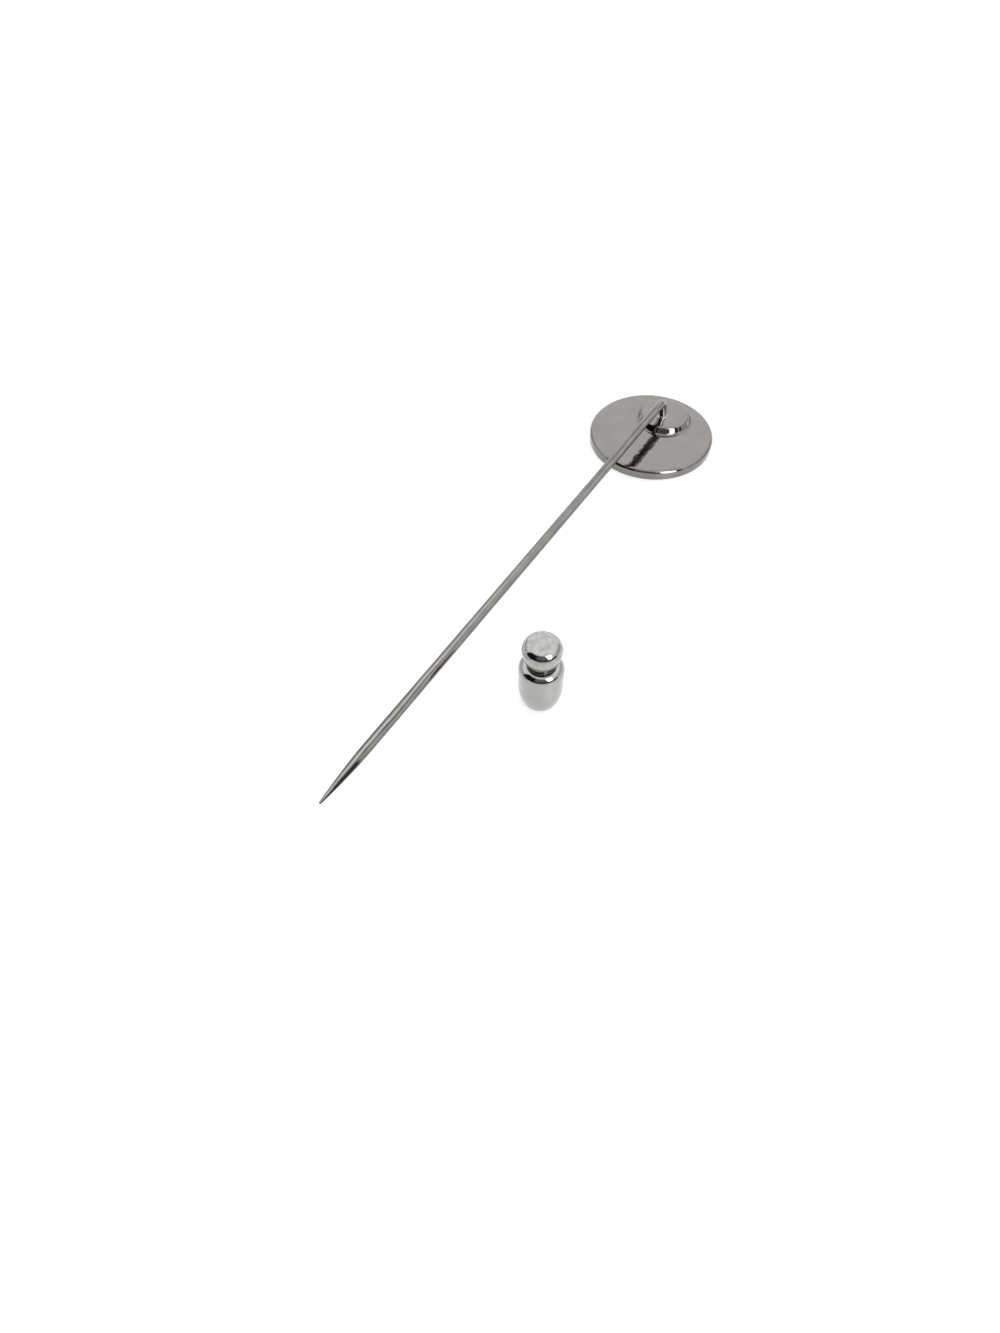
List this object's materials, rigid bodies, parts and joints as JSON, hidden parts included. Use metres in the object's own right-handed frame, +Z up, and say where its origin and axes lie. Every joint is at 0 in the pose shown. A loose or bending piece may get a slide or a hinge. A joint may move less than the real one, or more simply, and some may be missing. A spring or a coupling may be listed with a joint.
{
  "type": "lapel stick pin",
  "caption": "Lapel stick pin: a round face disc lying face down, a pad on its back, a long wire needle bent down and soldered to the pad, and a bullet clutch with a pull knob beside it.",
  "frame": {"origin": "middle of the face disc's front, which lies on the surface that the pin rests on", "axes": "+Z up out of the disc's back, -Y along the needle towards its point, +X across the needle towards the side where the clutch stands"},
  "size_m": [0.022, 0.0834, 0.0102],
  "materials": {
    "nickel": "polished nickel plate, warm grey",
    "clutch_nickel": "bright nickel plate with fine turned lines"
  },
  "bodies": {
    "pin": {"soldered_pin": "nickel"},
    "clutch": {"clutch_barrel": "clutch_nickel"},
    "knob": {"clutch_knob": "clutch_nickel"}
  },
  "joints": [
    {"name": "clutch_lift", "type": "slide", "parent": "pin", "child": "clutch", "axis": [0, 0, 1], "range_m": [0, 0.03]},
    {"name": "knob_pull", "type": "slide", "parent": "clutch", "child": "knob", "axis": [0, 0, 1], "range_m": [0, 0.001], "stiffness_N_per_m": 60, "springref_m": -0.001}
  ]
}
